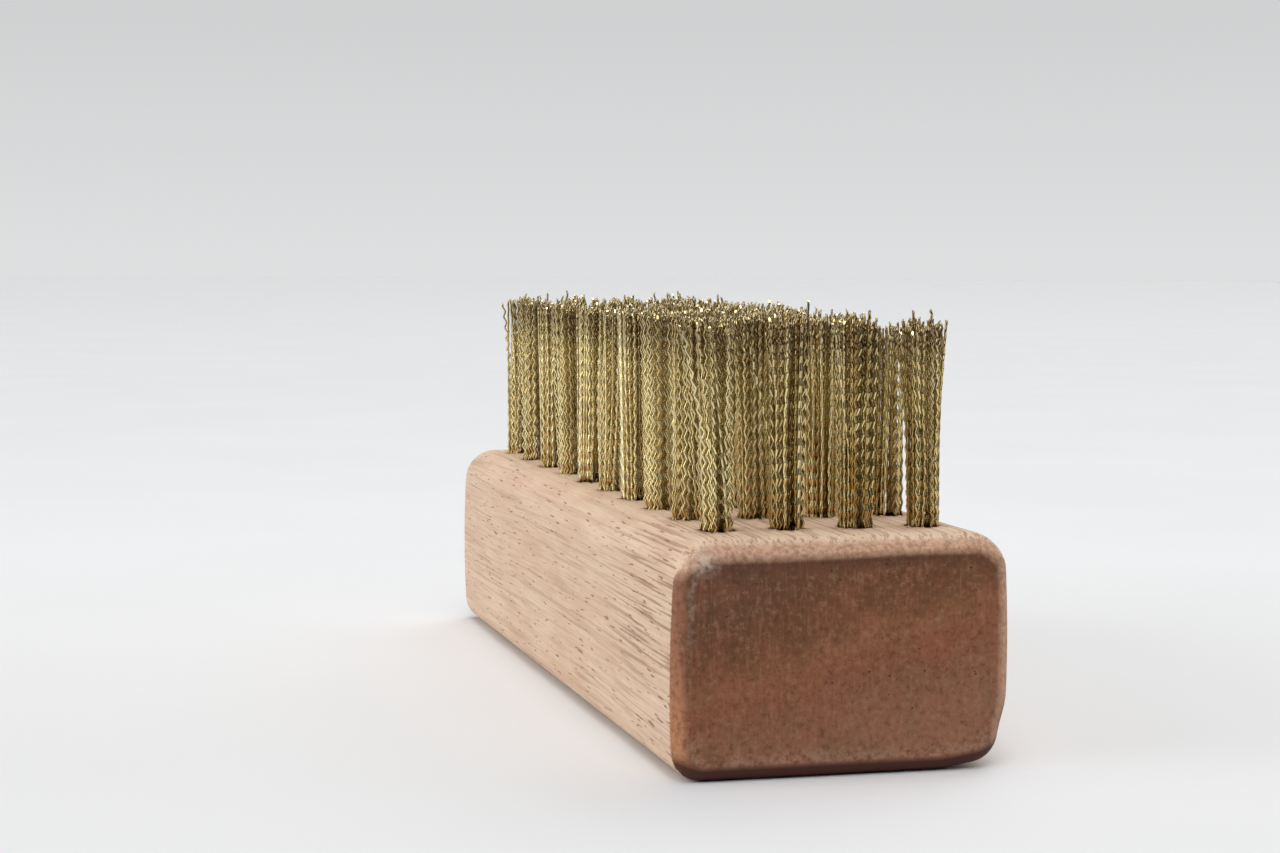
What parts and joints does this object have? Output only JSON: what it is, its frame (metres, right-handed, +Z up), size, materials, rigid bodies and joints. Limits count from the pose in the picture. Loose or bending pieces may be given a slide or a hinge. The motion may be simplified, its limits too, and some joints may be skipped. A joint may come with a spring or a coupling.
{
  "type": "wire brush",
  "caption": "Hand wire brush: a rectangular hardwood block with rounded edges, set with a grid of crimped brass wire tufts.",
  "frame": {"origin": "centre of the block's flat bottom face", "axes": "+X across the block, +Y along the block's length, +Z up from the block's bottom face towards the wire tips"},
  "size_m": [0.03, 0.096, 0.0383],
  "materials": {
    "block_wood": "unvarnished fine-grained hardwood, sanded smooth, edges slightly worn",
    "tuft_brass": "drawn and crimped fine brass wire, bright at the cut ends, slightly dulled"
  },
  "bodies": {
    "root": {"block": "block_wood", "tuft_r01_c1": "tuft_brass", "tuft_r01_c2": "tuft_brass", "tuft_r01_c3": "tuft_brass", "tuft_r01_c4": "tuft_brass", "tuft_r02_c1": "tuft_brass", "tuft_r02_c2": "tuft_brass", "tuft_r02_c3": "tuft_brass", "tuft_r02_c4": "tuft_brass", "tuft_r03_c1": "tuft_brass", "tuft_r03_c2": "tuft_brass", "tuft_r03_c3": "tuft_brass", "tuft_r03_c4": "tuft_brass", "tuft_r04_c1": "tuft_brass", "tuft_r04_c2": "tuft_brass", "tuft_r04_c3": "tuft_brass", "tuft_r04_c4": "tuft_brass", "tuft_r05_c1": "tuft_brass", "tuft_r05_c2": "tuft_brass", "tuft_r05_c3": "tuft_brass", "tuft_r05_c4": "tuft_brass", "tuft_r06_c1": "tuft_brass", "tuft_r06_c2": "tuft_brass", "tuft_r06_c3": "tuft_brass", "tuft_r06_c4": "tuft_brass", "tuft_r07_c1": "tuft_brass", "tuft_r07_c2": "tuft_brass", "tuft_r07_c3": "tuft_brass", "tuft_r07_c4": "tuft_brass", "tuft_r08_c1": "tuft_brass", "tuft_r08_c2": "tuft_brass", "tuft_r08_c3": "tuft_brass", "tuft_r08_c4": "tuft_brass", "tuft_r09_c1": "tuft_brass", "tuft_r09_c2": "tuft_brass", "tuft_r09_c3": "tuft_brass", "tuft_r09_c4": "tuft_brass", "tuft_r10_c1": "tuft_brass", "tuft_r10_c2": "tuft_brass", "tuft_r10_c3": "tuft_brass", "tuft_r10_c4": "tuft_brass"}
  },
  "joints": []
}
